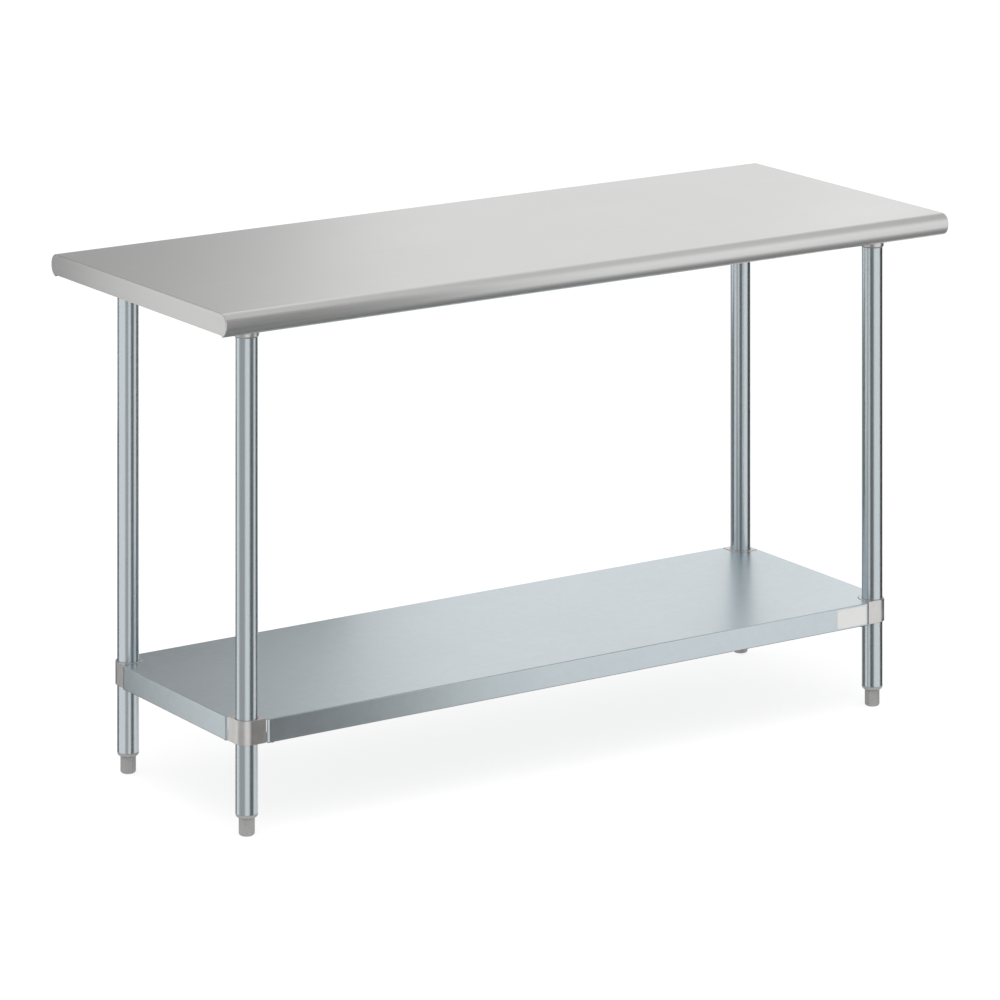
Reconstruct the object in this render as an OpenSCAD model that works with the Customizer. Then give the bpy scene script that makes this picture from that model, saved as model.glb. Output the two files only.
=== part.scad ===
// Free-standing stainless work table with an adjustable galvanised undershelf.
// Millimetres, +Z up. X runs along the length, Y along the depth, front faces -Y.
// Origin: on the floor, under the middle of the worktop.

/* [Table] */
// Overall length of the worktop
table_l = 1524; // [1220:1:1830]
// Overall depth of the worktop, over both rolled edges
table_w = 609.6; // [560:0.1:765]
// Height of the work surface above the floor
table_h = 904.8; // [860:0.1:940]

/* [Worktop] */
// Thickness of the stainless sheet
top_t = 1.2; // [0.9:0.1:1.6]
// Radius of the upper quarter of the rolled edge
roll_up_r = 18; // [15:0.5:20]
// Radius of the lower curl of the rolled edge
roll_low_r = 19; // [16:0.5:20]
// Height of the straight face between the two arcs of the rolled edge
roll_face = 3; // [2:0.5:5]
// Sweep of the lower curl, in degrees
roll_sweep = 74.4; // [65:0.2:80]
// Drop of the flat end flanges below the work surface
end_drop = 36.3; // [34:0.1:37]

/* [Channels] */
// Thickness of the galvanised channels under the worktop
chan_t = 1.5; // [1.2:0.1:1.8]
// Width of the crown of the long hat channel
hat_w = 60; // [50:1:80]
// Depth of the long hat channel
hat_d = 25; // [20:1:28]
// Width of each outward flange of a channel
chan_flange = 18; // [16:1:20]
// Width of the crown of a cross channel
cross_w = 84; // [80:1:90]
// Depth of a cross channel
cross_d = 32; // [30:0.5:33]
// Length of a cross channel, front to back
cross_l = 540; // [460:1:545]

/* [Legs] */
// Distance from the middle of the table to a leg, along X
leg_x = 663.4; // [520:0.1:780]
// Distance from the middle of the table to a leg, along Y
leg_y = 204.4; // [190:0.1:220]
// Outer diameter of the leg tube
leg_od = 38.1; // [38.1:0.1:38.5]
// Wall of the leg tube
leg_wall = 1.5; // [1.2:0.1:1.8]
// Height of the lower end of the leg tube above the floor
leg_z0 = 37.5; // [36:0.5:40]

/* [Leg sockets] */
// Side of the square socket flange
sock_flange = 76; // [74:1:80]
// Thickness of the socket flange
sock_flange_t = 5.6; // [5:0.1:6]
// Outer diameter of the socket collar
sock_od = 42.6; // [42:0.1:46]
// Height of the lower rim of the collar above the floor
sock_z0 = 840; // [836:0.5:846]

/* [Feet] */
// Height of the foot body
foot_h = 29.7; // [28:0.1:30]
// Size of the foot across the corners of its hexagon
foot_corners = 27.5; // [26:0.1:29]
// Diameter of the threaded stud
stud_d = 10; // [9.5:0.1:10.5]
// Thread pitch of the stud
stud_pitch = 1.5; // [1.25:0.25:1.75]
// Distance that a foot screws out
foot_travel = 25; // [15:1:25]

/* [Undershelf] */
// Height of the top of the shelf above the floor
shelf_z = 196.4; // [120:0.1:400]
// Thickness of the galvanised shelf sheet
shelf_t = 1.2; // [0.9:0.1:1.5]
// Height of the shelf flange
shelf_drop = 40.3; // [38:0.1:44]
// Distance from a leg axis to the face of the shelf flange
shelf_out = 25.4; // [25:0.1:26]
// Width of the lip turned in at the bottom of the shelf flange
shelf_lip = 13; // [10:1:16]
// Radius of the clearance cut round each leg
notch_r = 26.4; // [26.2:0.1:27]
// Depth of the hat channel under the shelf
shelf_hat_d = 22; // [18:1:26]

/* [Shelf clamps] */
// Distance from a leg axis to the outer faces of a clamp
clamp_out = 22.3; // [22:0.1:22.6]
// Reach of the clamp from the leg axis towards the middle of the table
clamp_in = 25.2; // [24.8:0.1:25.4]
// Height of the clamp above the shelf surface
clamp_proud = 0.8; // [0.4:0.1:1.5]
// Radial clearance between a clamp and its leg
clamp_gap = 0.35; // [0.3:0.05:0.5]

/* [Label plate] */
// Length of the blank foil plate on the shelf flange
plate_l = 66; // [50:1:80]
// Height of the blank foil plate
plate_h = 33.6; // [25:0.1:35]

/* [Hidden] */
$fn = 96;

hl = table_l / 2;
hw = table_w / 2;
top_under = table_h - top_t;
roll_low_z = roll_up_r + roll_face;
roll_tip_y = roll_low_r * (1 - cos(roll_sweep));
roll_tip_z = roll_low_z + roll_low_r * sin(roll_sweep);
leg_r = leg_od / 2;
leg_ir = leg_r - leg_wall;
cross_z = top_under - cross_d;
sock_z1 = cross_z;
leg_z1 = sock_z1 - 3.6;
sock_bore_r = leg_r + 0.15;
stud_bore_r = stud_d / 2 + 0.05;
shelf_x = leg_x + shelf_out;
shelf_y = leg_y + shelf_out;
shelf_z0 = shelf_z - shelf_drop;
clamp_z0 = shelf_z0 + 0.2;
clamp_z1 = shelf_z + clamp_proud;
set_z = shelf_z - 21;
sock_set_z = sock_z0 + 17;
// The four corners, as signs of X and Y
CORNERS = [[-1, -1], [1, -1], [-1, 1], [1, 1]];
// Bolt holes of a socket flange, as offsets from the leg axis
SOCK_BOLTS = [[-28, -28], [28, -28], [-28, 28], [28, 28]];
// Weld studs that hold the channels to the worktop
STUDS = concat(
    [for (x = [-560, -280, 0, 280, 560], s = [-1, 1]) [x, s * (hat_w / 2 + chan_flange / 2)]],
    [for (y = [-235, -90, 90, 235], s = [-1, 1], c = [-1, 1]) [c * leg_x + s * (cross_w / 2 + chan_flange / 2), y]]);

// Moves a corner piece, drawn for the front left leg at the origin, to its own leg
module at_corner(s) {
    translate([s[0] * leg_x, s[1] * leg_y, 0])
        mirror([s[0] > 0 ? 1 : 0, 0, 0]) mirror([0, s[1] > 0 ? 1 : 0, 0]) children();
}

// Turns a YZ outline into a bar along X, between x0 and x1
module along_x(x0, x1) {
    translate([x0, 0, 0]) rotate([90, 0, 90]) linear_extrude(x1 - x0) children();
}

// ---- worktop ----

// Everything inside the rolled edge, drawn with its outer face at y = 0 and the work surface at z = 0
module roll_solid2d(up_r, low_r) {
    intersection() {
        union() {
            translate([roll_up_r, -roll_up_r]) circle(up_r);
            translate([roll_low_r, -roll_low_z]) circle(low_r);
            translate([roll_up_r - up_r, -roll_low_z]) square([up_r, roll_face]);
        }
        polygon([[-1, 1], [roll_up_r, 1], [roll_up_r, -end_drop], [roll_tip_y, -roll_tip_z], [roll_tip_y, -roll_tip_z - 2], [-1, -roll_tip_z - 2]]);
    }
}

// The sheet of the rolled edge
module roll_sheet2d() {
    intersection() {
        difference() {
            union() {
                translate([roll_up_r, -roll_up_r]) circle(roll_up_r);
                translate([roll_low_r, -roll_low_z]) circle(roll_low_r);
                translate([0, -roll_low_z]) square([roll_up_r, roll_face]);
            }
            translate([roll_up_r, -roll_up_r]) circle(roll_up_r - top_t);
            translate([roll_low_r, -roll_low_z]) circle(roll_low_r - top_t);
            translate([top_t, -roll_low_z]) square([roll_up_r, roll_face]);
        }
        union() {
            translate([-1, -roll_low_z]) square([roll_up_r + 1, roll_low_z + 1]);
            polygon([[roll_low_r, -roll_low_z], [-1, -roll_low_z],
                [-1, -roll_low_z - 40],
                [roll_low_r - 60 * cos(roll_sweep), -roll_low_z - 60 * sin(roll_sweep)]]);
        }
    }
}

// Outline of a flat end flange with the ends of both rolls closed
module end_plate2d() {
    union() {
        for (s = [0, 1]) mirror([s, 0]) translate([-hw, table_h]) roll_solid2d(roll_up_r, roll_low_r);
        translate([-hw + roll_up_r - 1, table_h - end_drop]) square([table_w - 2 * roll_up_r + 2, end_drop]);
    }
}

module work_top() color("silver") {
    union() {
        along_x(-hl + top_t, hl - top_t) union() {
            for (s = [0, 1]) mirror([s, 0]) translate([-hw, table_h]) roll_sheet2d();
            translate([-hw + roll_up_r - 0.5, top_under]) square([table_w - 2 * roll_up_r + 1, top_t]);
        }
        for (e = [-hl, hl - top_t]) along_x(e, e + top_t) end_plate2d();
    }
}

// ---- channels under the worktop ----

// Hat section with its flanges up, drawn across Y, hanging from z = 0
module hat2d(w, d, fl, t) {
    polygon([[-w / 2 - fl, 0], [-w / 2 - fl, -t], [-w / 2, -t], [-w / 2, -d], [w / 2, -d], [w / 2, -t],
        [w / 2 + fl, -t], [w / 2 + fl, 0], [w / 2 - t, 0], [w / 2 - t, -d + t], [-w / 2 + t, -d + t], [-w / 2 + t, 0]]);
}

module stud_holes(r) {
    for (p = STUDS) translate([p[0], p[1], top_under - 6]) cylinder(h = 10, r = r);
}

module top_hat_channel() color("lightsteelblue") {
    difference() {
        along_x(-600, 600) translate([0, top_under]) hat2d(hat_w, hat_d, chan_flange, chan_t);
        stud_holes(2.8);
    }
}

module cross_channel(s) {
    difference() {
        translate([s * leg_x, cross_l / 2, 0]) rotate([90, 0, 0]) linear_extrude(cross_l)
            translate([0, top_under]) hat2d(cross_w, cross_d, chan_flange, chan_t);
        stud_holes(2.8);
        for (t = [-1, 1], p = SOCK_BOLTS)
            translate([s * leg_x + p[0], t * leg_y + p[1], cross_z - 1]) cylinder(h = 4, r = 3.2);
    }
}

module cross_channel_left() color("lightsteelblue") { cross_channel(-1); }
module cross_channel_right() color("lightsteelblue") { cross_channel(1); }

// Studs welded to the underside of the worktop
module channel_studs() color("gainsboro") {
    for (p = STUDS) translate([p[0], p[1], top_under - 11]) cylinder(h = 11, r = 2.5);
}

// Flange nuts on the studs
module channel_nuts() color("gainsboro") {
    for (p = STUDS) translate([p[0], p[1], top_under - chan_t])
        difference() {
            union() {
                translate([0, 0, -1.2]) cylinder(h = 1.2, r = 5.6);
                translate([0, 0, -5]) cylinder(h = 4, r = 4.62, $fn = 6);
            }
            translate([0, 0, -6]) cylinder(h = 7, r = 2.52);
        }
}

// ---- leg sockets ----

module leg_socket(s) {
    difference() {
        at_corner(s) union() {
            // square flange with rounded corners
            translate([0, 0, sock_z1 - sock_flange_t]) linear_extrude(sock_flange_t) union() {
                square([sock_flange, sock_flange - 16], center = true);
                square([sock_flange - 16, sock_flange], center = true);
                for (a = [-1, 1], b = [-1, 1]) translate([a * (sock_flange / 2 - 8), b * (sock_flange / 2 - 8)]) circle(8);
            }
            // collar with a bevelled lower rim and a conical root
            rotate_extrude() polygon([[0, sock_z0], [sock_od / 2 - 1.6, sock_z0], [sock_od / 2, sock_z0 + 2.2],
                [sock_od / 2, sock_z1 - sock_flange_t - 5], [sock_od / 2 + 4, sock_z1 - sock_flange_t], [sock_od / 2 + 4, sock_z1 - sock_flange_t + 1], [0, sock_z1 - sock_flange_t + 1]]);
            // boss for the set screw, on the diagonal towards the middle of the table
            translate([0, 0, sock_set_z]) rotate([0, 90, 45]) cylinder(h = sock_od / 2 + 8, r = 7);
        }
        at_corner(s) union() {
            translate([0, 0, sock_z0 - 1]) cylinder(h = leg_z1 + 0.2 - sock_z0 + 1, r = sock_bore_r);
            translate([0, 0, sock_set_z]) rotate([0, 90, 45]) translate([0, 0, 10]) cylinder(h = 30, r = 4);
            for (p = SOCK_BOLTS) translate([p[0], p[1], sock_z1 - 8]) cylinder(h = 10, r = 3.2);
        }
    }
}

module leg_socket_front_left() color("gainsboro") { leg_socket(CORNERS[0]); }
module leg_socket_front_right() color("gainsboro") { leg_socket(CORNERS[1]); }
module leg_socket_back_left() color("gainsboro") { leg_socket(CORNERS[2]); }
module leg_socket_back_right() color("gainsboro") { leg_socket(CORNERS[3]); }

// Hex bolts that hold the socket flanges to the cross channels
module socket_bolts() color("gainsboro") {
    for (c = CORNERS, p = SOCK_BOLTS) translate([c[0] * leg_x + p[0], c[1] * leg_y + p[1], sock_z1 - sock_flange_t])
        union() {
            translate([0, 0, -4]) cylinder(h = 4, r = 5.77, $fn = 6);
            cylinder(h = 14, r = 3);
        }
}

// Hex nuts inside the cross channels
module socket_nuts() color("gainsboro") {
    for (c = CORNERS, p = SOCK_BOLTS) translate([c[0] * leg_x + p[0], c[1] * leg_y + p[1], cross_z + chan_t])
        difference() {
            cylinder(h = 5, r = 5.77, $fn = 6);
            translate([0, 0, -1]) cylinder(h = 7, r = 3.02);
        }
}

// One set screw with a hex socket, along +X from its tip at x = r0
module set_screw(r0, len, r) {
    translate([r0, 0, 0]) rotate([0, 90, 0]) difference() {
        union() {
            cylinder(h = 1, r1 = r - 1, r2 = r);
            translate([0, 0, 1]) cylinder(h = len - 1, r = r);
        }
        translate([0, 0, len - 4]) cylinder(h = 5, r = 2.3, $fn = 6);
    }
}

module socket_set_screws() color("dimgray") {
    for (c = CORNERS) at_corner(c) translate([0, 0, sock_set_z]) rotate([0, 0, 45]) set_screw(leg_r + 0.05, 11, 3.95);
}

// ---- legs and feet ----

module leg(s) {
    translate([s[0] * leg_x, s[1] * leg_y, leg_z0]) difference() {
        cylinder(h = leg_z1 - leg_z0, r = leg_r);
        translate([0, 0, -1]) cylinder(h = leg_z1 - leg_z0 + 2, r = leg_ir);
    }
}

module leg_front_left() color("lightsteelblue") { leg(CORNERS[0]); }
module leg_front_right() color("lightsteelblue") { leg(CORNERS[1]); }
module leg_back_left() color("lightsteelblue") { leg(CORNERS[2]); }
module leg_back_right() color("lightsteelblue") { leg(CORNERS[3]); }

// Plug pressed into the lower end of a leg, with a domed collar and a threaded bore
module foot_insert(s) {
    z0 = foot_h + 0.8;
    dome = 5.6;
    translate([s[0] * leg_x, s[1] * leg_y, 0]) difference() {
        union() {
            rotate_extrude() union() {
                translate([0, z0]) square([leg_r - dome, leg_z0 - z0]);
                intersection() {
                    translate([leg_r - dome, z0 + dome]) circle(dome);
                    translate([0, z0]) square([leg_r, leg_z0 - z0]);
                }
                translate([0, z0 + dome]) square([leg_r, leg_z0 - z0 - dome]);
            }
            translate([0, 0, leg_z0]) cylinder(h = 25, r = leg_ir - 0.02);
        }
        translate([0, 0, z0 - 1]) cylinder(h = 40, r = stud_bore_r);
    }
}

module foot_insert_front_left() color("darkgray") { foot_insert(CORNERS[0]); }
module foot_insert_front_right() color("darkgray") { foot_insert(CORNERS[1]); }
module foot_insert_back_left() color("darkgray") { foot_insert(CORNERS[2]); }
module foot_insert_back_right() color("darkgray") { foot_insert(CORNERS[3]); }

// Threaded stud, drawn at its major diameter
module foot_stud(s) {
    translate([s[0] * leg_x, s[1] * leg_y, 9]) union() {
        cylinder(h = leg_z0 + 36 - 9 - 1, r = stud_d / 2);
        translate([0, 0, leg_z0 + 36 - 10]) cylinder(h = 1, r1 = stud_d / 2, r2 = stud_d / 2 - 1);
    }
}

module foot_stud_front_left() color("silver") { foot_stud(CORNERS[0]); }
module foot_stud_front_right() color("silver") { foot_stud(CORNERS[1]); }
module foot_stud_back_left() color("silver") { foot_stud(CORNERS[2]); }
module foot_stud_back_right() color("silver") { foot_stud(CORNERS[3]); }

// Hexagonal foot with a rounded sole
module foot(s) {
    r = foot_corners / 2;
    translate([s[0] * leg_x, s[1] * leg_y, 0]) difference() {
        intersection() {
            rotate([0, 0, 31]) cylinder(h = foot_h, r = r, $fn = 6);
            rotate_extrude() union() {
                square([r - 4.5, foot_h]);
                intersection() {
                    translate([r - 4.5, 4.5]) circle(4.5);
                    square([r, foot_h]);
                }
                translate([0, 4.5]) square([r, foot_h - 4.5]);
            }
        }
        translate([0, 0, 8.8]) cylinder(h = foot_h, r = stud_bore_r);
    }
}

module foot_front_left() color("darkgray") { foot(CORNERS[0]); }
module foot_front_right() color("darkgray") { foot(CORNERS[1]); }
module foot_back_left() color("darkgray") { foot(CORNERS[2]); }
module foot_back_right() color("darkgray") { foot(CORNERS[3]); }

// ---- undershelf ----

// Cut round a leg, at the front left corner of the sheet, with the leg axis at the origin
module notch2d() {
    union() {
        circle(notch_r);
        translate([-60, -60]) square([60 + notch_r, 60]);
        translate([-60, -60]) square([60, 60 + notch_r]);
    }
}

// Half of the front or back flange and its lip, for x from the leg to the middle
module flange_x() {
    k = shelf_out - clamp_out;
    // plan outline of the flange, with its end turned in at 45 degrees towards the clamp
    translate([0, 0, shelf_z0]) linear_extrude(shelf_drop) polygon([
        [clamp_in + 0.4, -clamp_out], [clamp_in + 0.4 + k, -shelf_out], [leg_x, -shelf_out],
        [leg_x, -shelf_out + shelf_t], [clamp_in + 0.9 + k, -shelf_out + shelf_t], [clamp_in + 0.9, -clamp_out + shelf_t]]);
    translate([clamp_in + 6, -shelf_out, shelf_z0]) cube([leg_x - clamp_in - 6, shelf_lip, shelf_t]);
}

// Half of a side flange and its lip, for y from the leg to the middle
module flange_y() {
    k = shelf_out - clamp_out;
    translate([0, 0, shelf_z0]) linear_extrude(shelf_drop) polygon([
        [-clamp_out, clamp_in + 0.4], [-shelf_out, clamp_in + 0.4 + k], [-shelf_out, leg_y],
        [-shelf_out + shelf_t, leg_y], [-shelf_out + shelf_t, clamp_in + 0.9 + k], [-clamp_out + shelf_t, clamp_in + 0.9]]);
    translate([-shelf_out, clamp_in + 6, shelf_z0]) cube([shelf_lip, leg_y - clamp_in - 6, shelf_t]);
}

// Clamp screw positions, from the leg axis, in the lips of the shelf flanges
CLAMP_SCREWS = [[clamp_in + 14, -shelf_out + 7.5], [-shelf_out + 7.5, clamp_in + 14]];

module undershelf() color("lightsteelblue") {
    difference() {
        union() {
            difference() {
                translate([-shelf_x, -shelf_y, shelf_z - shelf_t]) cube([2 * shelf_x, 2 * shelf_y, shelf_t]);
                for (c = CORNERS) at_corner(c) translate([0, 0, shelf_z - 5]) linear_extrude(10) notch2d();
            }
            for (c = CORNERS) at_corner(c) { flange_x(); flange_y(); }
        }
        for (c = CORNERS) at_corner(c) for (p = CLAMP_SCREWS)
            translate([p[0], p[1], shelf_z0 - 1]) cylinder(h = 4, r = 2.2);
    }
}

// Stiffener welded under the middle of the shelf
module shelf_hat_channel() color("lightsteelblue") {
    along_x(-leg_x + 12, leg_x - 12) translate([0, shelf_z - shelf_t]) hat2d(70, shelf_hat_d, 16, 1.2);
}

// Cast corner clamp that closes the corner of the shelf and grips the leg
module shelf_clamp(s) {
    difference() {
        at_corner(s) union() {
            translate([0, 0, clamp_z0]) linear_extrude(clamp_z1 - clamp_z0) union() {
                circle(clamp_out);
                intersection() { circle(clamp_in); square(clamp_in); }
                translate([0, -clamp_out]) square([clamp_in, clamp_out]);
                translate([-clamp_out, 0]) square([clamp_out, clamp_in]);
            }
            // lugs behind the shelf flanges, standing on their lips
            translate([10, -clamp_out + 1.6, shelf_z0 + shelf_t]) cube([clamp_in + 10, 9, 14]);
            translate([-clamp_out + 1.6, 10, shelf_z0 + shelf_t]) cube([9, clamp_in + 10, 14]);
            // boss for the set screw, on the diagonal towards the middle of the shelf
            translate([0, 0, set_z]) rotate([0, 90, 45]) cylinder(h = 34, r = 8);
        }
        at_corner(s) union() {
            translate([0, 0, clamp_z0 - 5]) cylinder(h = 60, r = leg_r + clamp_gap);
            translate([0, 0, set_z]) rotate([0, 90, 45]) translate([0, 0, 10]) cylinder(h = 30, r = 4);
            for (p = CLAMP_SCREWS) translate([p[0], p[1], shelf_z0]) cylinder(h = 12, r = 1.98);
        }
    }
}

module shelf_clamp_front_left() color("gainsboro") { shelf_clamp(CORNERS[0]); }
module shelf_clamp_front_right() color("gainsboro") { shelf_clamp(CORNERS[1]); }
module shelf_clamp_back_left() color("gainsboro") { shelf_clamp(CORNERS[2]); }
module shelf_clamp_back_right() color("gainsboro") { shelf_clamp(CORNERS[3]); }

module clamp_set_screws() color("dimgray") {
    for (c = CORNERS) at_corner(c) translate([0, 0, set_z]) rotate([0, 0, 45]) set_screw(leg_r + 0.35, 15, 3.95);
}

// Pan head screws through the shelf lips into the clamp lugs
module clamp_screws() color("silver") {
    for (c = CORNERS) at_corner(c) for (p = CLAMP_SCREWS)
        translate([p[0], p[1], shelf_z0]) difference() {
            union() {
                translate([0, 0, -2.2]) cylinder(h = 2.2, r1 = 2.8, r2 = 3.8);
                cylinder(h = 10, r = 1.95);
            }
            translate([0, 0, -3]) cylinder(h = 2, r = 1.3, $fn = 6);
        }
}

// Blank foil plate on the front flange, near the right end
module label_plate() color("whitesmoke") {
    translate([564, -shelf_y - 0.35, shelf_z - 3 - plate_h]) cube([plate_l, 0.35, plate_h]);
}

work_top();
top_hat_channel();
cross_channel_left();
cross_channel_right();
channel_studs();
channel_nuts();
leg_socket_front_left();
leg_socket_front_right();
leg_socket_back_left();
leg_socket_back_right();
socket_bolts();
socket_nuts();
socket_set_screws();
leg_front_left();
leg_front_right();
leg_back_left();
leg_back_right();
foot_insert_front_left();
foot_insert_front_right();
foot_insert_back_left();
foot_insert_back_right();
foot_stud_front_left();
foot_stud_front_right();
foot_stud_back_left();
foot_stud_back_right();
foot_front_left();
foot_front_right();
foot_back_left();
foot_back_right();
undershelf();
shelf_hat_channel();
shelf_clamp_front_left();
shelf_clamp_front_right();
shelf_clamp_back_left();
shelf_clamp_back_right();
clamp_set_screws();
clamp_screws();
label_plate();
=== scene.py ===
import math

import bmesh
import bpy
from mathutils import Matrix, Vector


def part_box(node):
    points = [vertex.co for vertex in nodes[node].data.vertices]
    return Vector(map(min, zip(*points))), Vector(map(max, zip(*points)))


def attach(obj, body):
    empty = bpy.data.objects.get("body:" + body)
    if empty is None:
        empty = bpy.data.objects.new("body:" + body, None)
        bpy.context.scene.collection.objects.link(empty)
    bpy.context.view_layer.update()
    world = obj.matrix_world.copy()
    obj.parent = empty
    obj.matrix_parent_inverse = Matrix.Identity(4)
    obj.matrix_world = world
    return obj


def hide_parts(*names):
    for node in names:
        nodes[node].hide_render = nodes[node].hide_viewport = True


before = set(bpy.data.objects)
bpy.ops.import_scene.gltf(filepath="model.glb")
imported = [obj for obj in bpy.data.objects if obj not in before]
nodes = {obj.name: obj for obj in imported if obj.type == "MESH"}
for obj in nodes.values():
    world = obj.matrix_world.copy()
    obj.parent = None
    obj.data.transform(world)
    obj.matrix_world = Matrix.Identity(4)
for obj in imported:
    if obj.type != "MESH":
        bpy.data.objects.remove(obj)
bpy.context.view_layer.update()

scene = bpy.context.scene
CORNERS = {"front_left": (-1, -1), "front_right": (1, -1), "back_left": (-1, 1), "back_right": (1, 1)}


# ------------------------------------------------------------------ camera
# The photograph keeps every upright edge of the table parallel, so it is a level view that looks down
# on the object only because its picture plane stays upright. The same picture is made here without any
# lens shift: the camera keeps its right axis level and its up axis plumb, and only its viewing axis
# leans, by way of a parent empty.
VIEW_F = 5040.78            # focal length, in widths of 1/1000 of the frame
VIEW_X0, VIEW_Y0 = 538.311, -788.517   # where the level viewing direction meets the picture plane
VIEW_YAW = math.radians(33.8055)
VIEW_EYE = Vector((-4.98039, -7.53455, 2.73490))


def look_through_photo_camera():
    ahead = Vector((math.sin(VIEW_YAW), math.cos(VIEW_YAW), 0))
    right = Vector((math.cos(VIEW_YAW), -math.sin(VIEW_YAW), 0))
    up = Vector((0, 0, 1))
    axis = ahead + right * ((500 - VIEW_X0) / VIEW_F) + up * ((VIEW_Y0 - 500) / VIEW_F)
    lean = Matrix((right, up, -axis)).transposed()
    # lean = turn * stretch * turn2, all proper, found from the eigenvectors of lean^T lean
    import numpy as np
    u, s, vt = np.linalg.svd(np.array(lean))
    if np.linalg.det(u) < 0:
        u[:, 2] *= -1
        vt[2, :] *= -1
    rig = bpy.data.objects.new("camera_rig", None)
    cam = bpy.data.objects.new("camera", bpy.data.cameras.new("camera"))
    for o in (rig, cam):
        scene.collection.objects.link(o)
        o.rotation_mode = "QUATERNION"
    rig.location = VIEW_EYE
    rig.rotation_quaternion = Matrix(u.tolist()).to_quaternion()
    rig.scale = s.tolist()
    cam.parent = rig
    cam.rotation_quaternion = Matrix(vt.tolist()).to_quaternion()
    cam.data.sensor_width = 36
    cam.data.lens = 36 * VIEW_F / 1000 * axis.length
    cam.data.clip_start, cam.data.clip_end = 0.1, 200
    scene.camera = cam


look_through_photo_camera()

scene.view_settings.view_transform = "Standard"
scene.view_settings.look = "None"
scene.view_settings.exposure = 0
scene.view_settings.gamma = 1


# ------------------------------------------------------------------ shader helpers
def new_material(name):
    m = bpy.data.materials.new(name)
    m.use_nodes = True
    t = m.node_tree
    t.nodes.clear()
    out = t.nodes.new("ShaderNodeOutputMaterial")
    return m, t, out


def node(t, kind, **settings):
    n = t.nodes.new(kind)
    for k, v in settings.items():
        if k.startswith("in_"):
            n.inputs[k[3:].replace("_", " ")].default_value = v
        else:
            setattr(n, k, v)
    return n


def noise(t, coords, stretch, detail=2.0, rough=0.5, distortion=0.0):
    mp = node(t, "ShaderNodeMapping")
    mp.inputs["Scale"].default_value = stretch
    t.links.new(coords, mp.inputs["Vector"])
    n = node(t, "ShaderNodeTexNoise", in_Scale=1.0, in_Detail=detail, in_Roughness=rough, in_Distortion=distortion)
    t.links.new(mp.outputs["Vector"], n.inputs["Vector"])
    return n.outputs["Fac"]


def spread(t, value, lo, hi, f0=0.3, f1=0.7):
    n = node(t, "ShaderNodeMapRange")
    for k, v in (("From Min", f0), ("From Max", f1), ("To Min", lo), ("To Max", hi)):
        n.inputs[k].default_value = v
    t.links.new(value, n.inputs["Value"])
    return n.outputs["Result"]


def math_node(t, op, a, b):
    n = node(t, "ShaderNodeMath", operation=op)
    for i, v in enumerate((a, b)):
        if isinstance(v, (int, float)):
            n.inputs[i].default_value = v
        else:
            t.links.new(v, n.inputs[i])
    return n.outputs[0]


def blend(t, fac, a, b):
    n = node(t, "ShaderNodeMix", data_type="RGBA")
    t.links.new(fac, n.inputs[0])
    for i, c in ((6, a), (7, b)):
        if isinstance(c, tuple):
            n.inputs[i].default_value = (*c, 1)
        else:
            t.links.new(c, n.inputs[i])
    return n.outputs[2]


def bump(t, layers):
    """Stacks bump layers, each (height socket, height in metres)."""
    last = None
    for height, distance in layers:
        n = node(t, "ShaderNodeBump", in_Strength=1.0, in_Distance=distance)
        t.links.new(height, n.inputs["Height"])
        if last is not None:
            t.links.new(last, n.inputs["Normal"])
        last = n.outputs["Normal"]
    return last


def shader(t, out, metallic, colour, roughness, normal, **sockets):
    b = t.nodes.new("ShaderNodeBsdfPrincipled")
    b.inputs["Metallic"].default_value = metallic
    for k, v in sockets.items():
        b.inputs[k.replace("_", " ")].default_value = v
    for k, v in (("Base Color", colour), ("Roughness", roughness), ("Normal", normal)):
        if v is not None:
            t.links.new(v, b.inputs[k])
    t.links.new(b.outputs[0], out.inputs["Surface"])
    return b


def coords_of(t):
    return node(t, "ShaderNodeTexCoord").outputs["Object"]


def grain_stretch(axis, along, across):
    s = [across] * 3
    s["XYZ".index(axis)] = along
    return tuple(s)


def shade(c, k):
    return tuple(min(1, x * k) for x in c)


# ------------------------------------------------------------------ materials
def brushed_stainless(name, axis, tone=(0.70, 0.70, 0.695), rough=0.27, depth=1.0):
    """Sheet polished with a belt: long fine scratches, a few wider streaks, and faint hand marks."""
    m, t, out = new_material(name)
    c = coords_of(t)
    fine = noise(t, c, grain_stretch(axis, 14, 1500), 3, 0.6)
    streak = noise(t, c, grain_stretch(axis, 2.2, 210), 2, 0.5)
    cloud = noise(t, c, (3.1, 3.7, 3.3), 3, 0.55)
    grain = math_node(t, "ADD", math_node(t, "MULTIPLY", fine, 0.6), math_node(t, "MULTIPLY", streak, 0.4))
    colour = blend(t, spread(t, grain, 0, 1, 0.33, 0.67), shade(tone, 0.972), shade(tone, 1.026))
    r = math_node(t, "ADD", spread(t, fine, rough - 0.035, rough + 0.04), spread(t, cloud, -0.015, 0.02))
    n = bump(t, [(streak, 0.0000035 * depth), (fine, 0.000004 * depth)])
    shader(t, out, 1.0, colour, r, n)
    return m


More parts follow.
